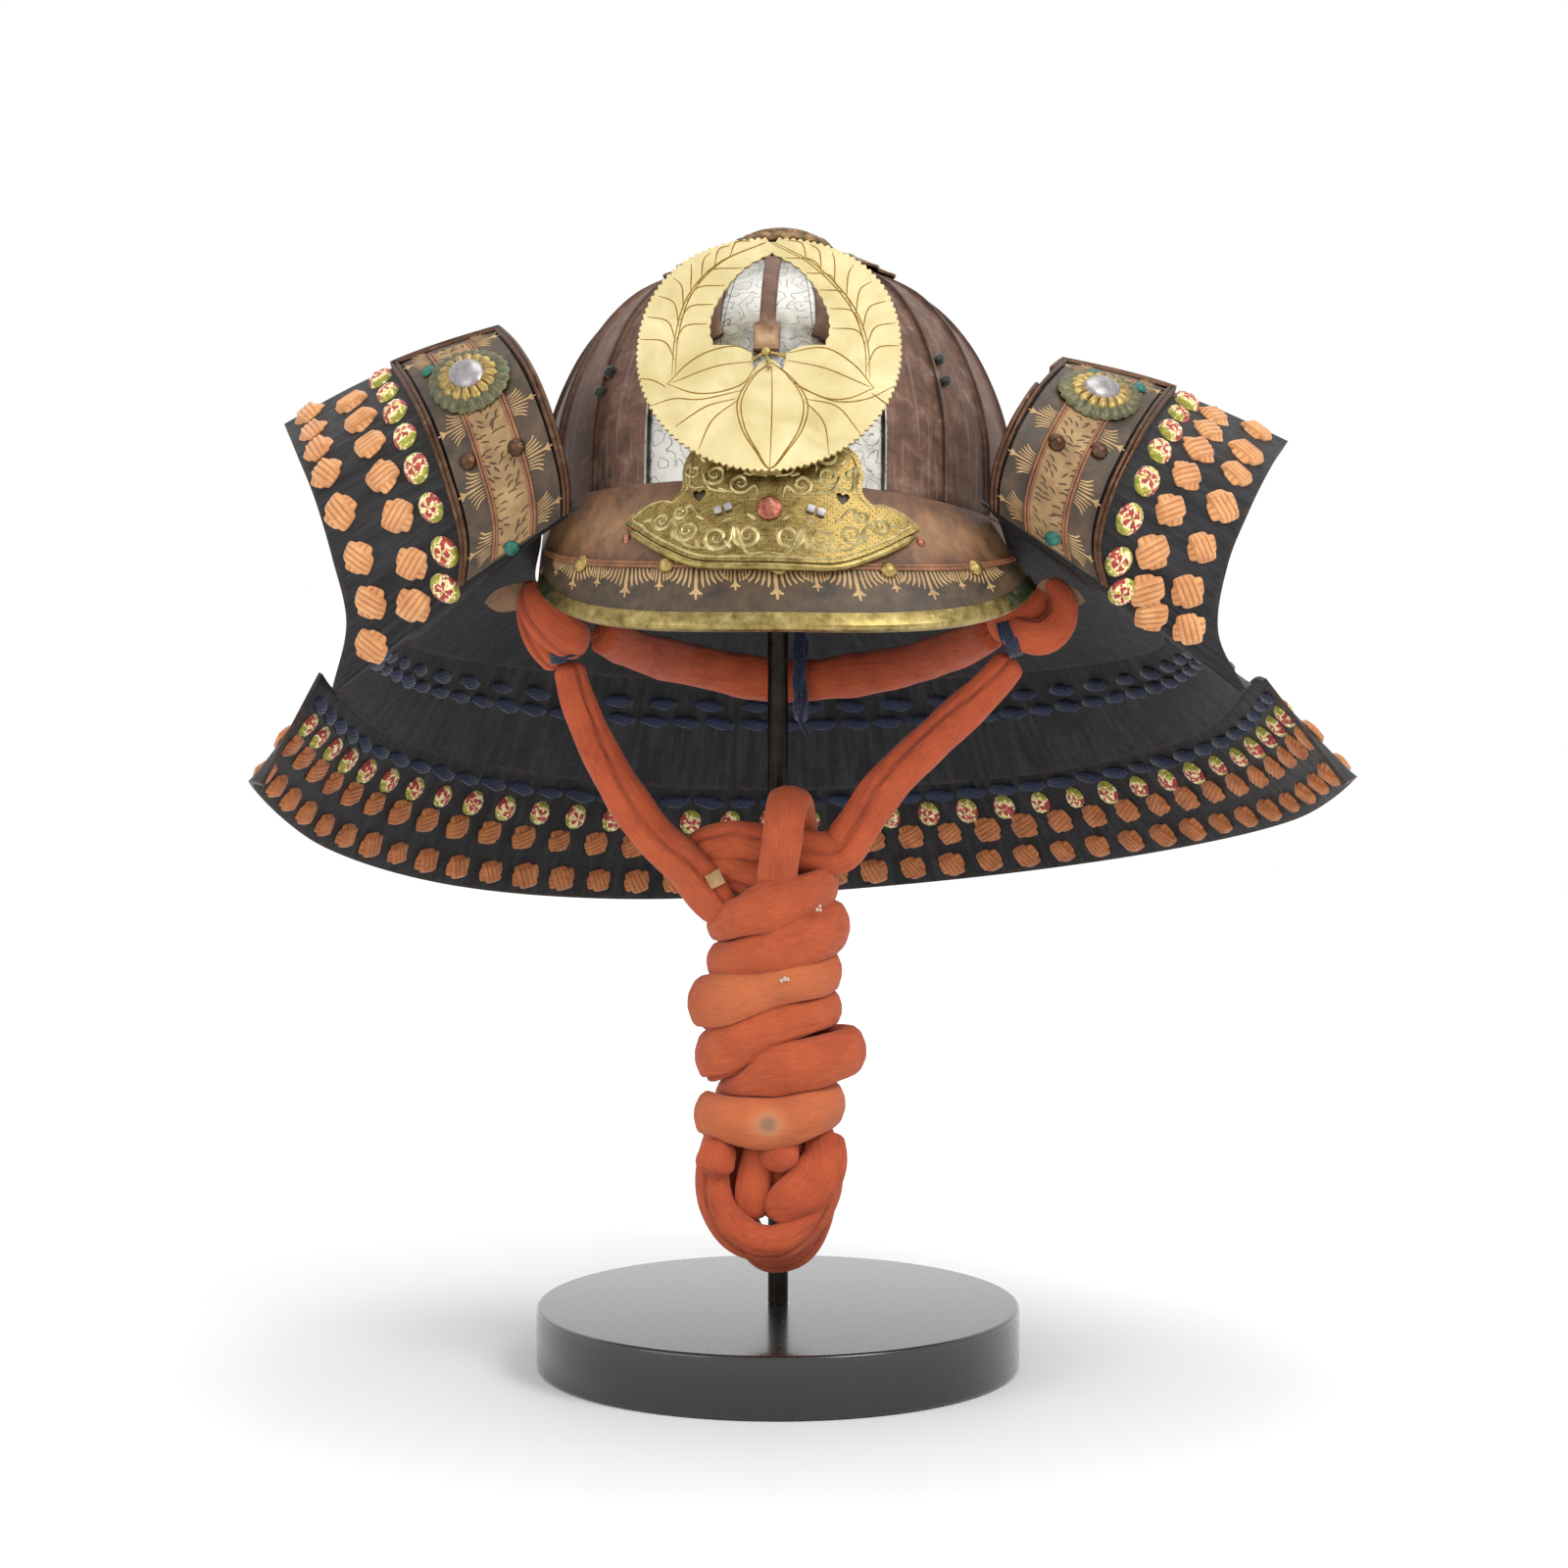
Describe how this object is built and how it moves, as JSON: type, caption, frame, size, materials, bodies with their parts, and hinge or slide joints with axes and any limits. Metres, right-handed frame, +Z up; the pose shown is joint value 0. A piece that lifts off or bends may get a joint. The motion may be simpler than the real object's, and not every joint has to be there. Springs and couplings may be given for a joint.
{
  "type": "samurai helmet on a display stand",
  "caption": "Ridged samurai helmet with gilt leaf crest, folded turn-backs, flared laced neck guard and silk chin cord, held on a rod stand with a round base",
  "frame": {"origin": "centre of the stand disc's flat underside, on the surface it stands on", "axes": "+Z up along the rod, the helmet faces -Y, +X to the right of a viewer in front"},
  "size_m": [0.538, 0.3914, 0.5633],
  "materials": {
    "disc_paint": "satin",
    "rod_steel": "satin",
    "russet_iron": "aged",
    "silvered_iron": "engraved",
    "brass": "aged",
    "gilt": "satin",
    "copper": "aged",
    "leather": "stencilled",
    "black_lacquer": "lacquered",
    "silk": "crepe",
    "navy_silk": "braided"
  },
  "bodies": {
    "root": {"base_disc": "disc_paint", "stand_rod": "rod_steel", "stand_cap": "disc_paint", "bowl_plate_01": "silvered_iron", "bowl_plate_02": "silvered_iron", "bowl_plate_03": "russet_iron", "bowl_plate_04": "russet_iron", "bowl_plate_05": "russet_iron", "bowl_plate_06": "russet_iron", "bowl_plate_07": "russet_iron", "bowl_plate_08": "russet_iron", "bowl_plate_09": "russet_iron", "bowl_plate_10": "russet_iron", "bowl_plate_11": "russet_iron", "bowl_plate_12": "russet_iron", "bowl_plate_13": "russet_iron", "bowl_plate_14": "russet_iron", "bowl_plate_15": "russet_iron", "bowl_plate_16": "russet_iron", "bowl_plate_17": "russet_iron", "bowl_plate_18": "russet_iron", "bowl_plate_19": "russet_iron", "bowl_plate_20": "silvered_iron", "base_band": "russet_iron", "crown_ring": "russet_iron", "crown_collar": "brass", "front_strip_centre": "russet_iron", "front_strip_left": "russet_iron", "front_strip_right": "russet_iron", "peak": "leather", "peak_rim": "brass", "crest_holder": "brass", "crest_holder_rim": "brass", "crest_holder_rivet": "copper", "crest": "gilt", "crest_tang": "brass", "neck_lame_1": "black_lacquer", "neck_lame_2": "black_lacquer", "neck_lame_3": "black_lacquer", "turnback_left": "black_lacquer", "turnback_panel_left": "leather", "turnback_rim_left": "copper", "rosette_left": "brass", "turnback_right": "black_lacquer", "turnback_panel_right": "leather", "turnback_rim_right": "copper", "rosette_right": "brass", "cord_tab_left": "leather", "cord_tab_right": "leather", "chin_cord_swag": "silk", "chin_cord_leg_left": "silk", "chin_cord_leg_right": "silk", "chin_cord_knot_left": "silk", "chin_cord_knot_right": "silk", "chin_cord_hank": "silk", "cord_tie": "navy_silk"}
  },
  "joints": []
}
